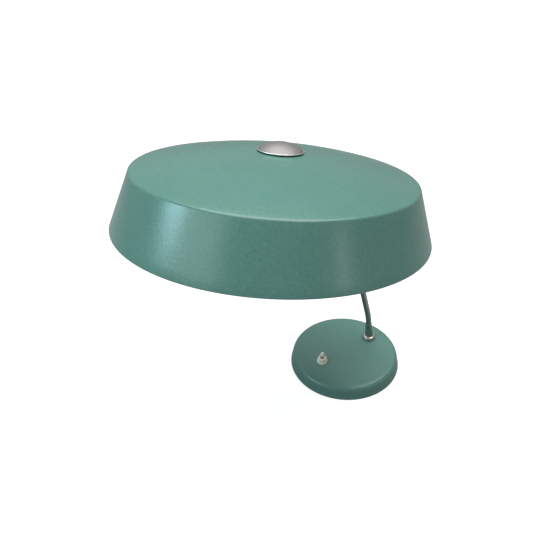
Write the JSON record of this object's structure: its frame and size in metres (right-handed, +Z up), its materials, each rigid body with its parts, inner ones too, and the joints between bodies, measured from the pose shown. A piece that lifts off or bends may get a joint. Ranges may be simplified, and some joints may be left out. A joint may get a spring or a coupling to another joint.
{
  "type": "desk lamp",
  "caption": "Desk lamp: wide shallow spun shade on a ball joint, slender curved chromed arm, weighted round base with a push switch.",
  "frame": {"origin": "centre of the round base's underside, on the table", "axes": "+Z up, -Y towards the shade and the push switch, +Y towards the lead inlet, +X to the right seen from the switch side"},
  "size_m": [0.3796, 0.4049, 0.3956],
  "materials": {
    "green_paint": "fine matt wrinkle enamel, sage green",
    "chrome": "bright plated steel",
    "satin_aluminium": "satin spun aluminium",
    "ivory_plastic": "ivory thermoset plastic, softly glossy",
    "cast_weight": "raw casting, oiled",
    "zinc_steel": "zinc plated steel",
    "spring_steel": "hardened spring steel",
    "rubber_pad": "black rubber sheet, fine texture",
    "dark_bakelite": "dark brown moulded phenolic",
    "fibre": "vulcanised fibre",
    "porcelain": "white glazed porcelain",
    "brass": "bare brass, slightly dulled",
    "nickel_cap": "nickel plated brass lamp cap",
    "opal_glass": "white coated lamp glass",
    "grey_sheath": "grey sheathed lead"
  },
  "bodies": {
    "base": {"base_cover": "green_paint", "ballast_weight": "cast_weight", "bottom_plate": "zinc_steel", "base_pad": "rubber_pad", "plate_screws": "zinc_steel", "swivel_collar": "chrome", "collar_nut": "zinc_steel", "stop_pin": "spring_steel", "switch_housing": "dark_bakelite", "switch_bezel": "ivory_plastic", "switch_nut": "zinc_steel", "switch_terminals": "brass", "switch_spring": "spring_steel", "cord_bush": "dark_bakelite", "base_leads": "grey_sheath"},
    "button": {"push_button": "ivory_plastic", "switch_plunger": "ivory_plastic"},
    "arm": {"arm_spigot": "zinc_steel", "wave_washer": "spring_steel", "stop_washer": "zinc_steel", "arm_lock_nut": "zinc_steel", "foot_sleeve": "chrome", "arm_tube": "chrome", "arm_lead": "grey_sheath", "end_ferrule": "chrome"},
    "ball": {"joint_ball": "chrome"},
    "head": {"ball_cup": "chrome", "friction_pad": "fibre", "disc_spring": "spring_steel", "head_stem": "zinc_steel", "stem_nut": "zinc_steel", "lamp_bridge": "zinc_steel", "holder_screws": "zinc_steel", "connector_block": "porcelain", "head_leads": "grey_sheath", "shade": "green_paint", "shade_washer": "zinc_steel", "shade_nut": "zinc_steel", "cap_washer": "fibre", "shade_cap": "satin_aluminium", "holder_shell_left": "dark_bakelite", "holder_insert_left": "porcelain", "centre_contact_left": "brass", "screw_shell_left": "brass", "bulb_cap_left": "nickel_cap", "bulb_glass_left": "opal_glass", "holder_shell_right": "dark_bakelite", "holder_insert_right": "porcelain", "centre_contact_right": "brass", "screw_shell_right": "brass", "bulb_cap_right": "nickel_cap", "bulb_glass_right": "opal_glass"}
  },
  "joints": [
    {"name": "arm_swivel", "type": "hinge", "parent": "base", "child": "arm", "pos_m": [0, 0.0539, 0.024], "axis": [0, 0, 1], "range_deg": [-148, 148]},
    {"name": "head_swivel", "type": "hinge", "parent": "arm", "child": "ball", "pos_m": [-0.00334, -0.11983, 0.34397], "axis": [-0.0143, -0.7435, 0.6686], "range_deg": [-90, 90]},
    {"name": "head_tilt", "type": "hinge", "parent": "ball", "child": "head", "pos_m": [-0.00334, -0.11983, 0.34397], "axis": [0.9987, 0.0216, 0.0454], "range_deg": [-18, 60]},
    {"name": "button_press", "type": "slide", "parent": "base", "child": "button", "axis": [0, 0, -1], "range_m": [0, 0.003], "stiffness_N_per_m": 600, "springref_m": -0.002, "deforming": ["switch_spring"]}
  ]
}
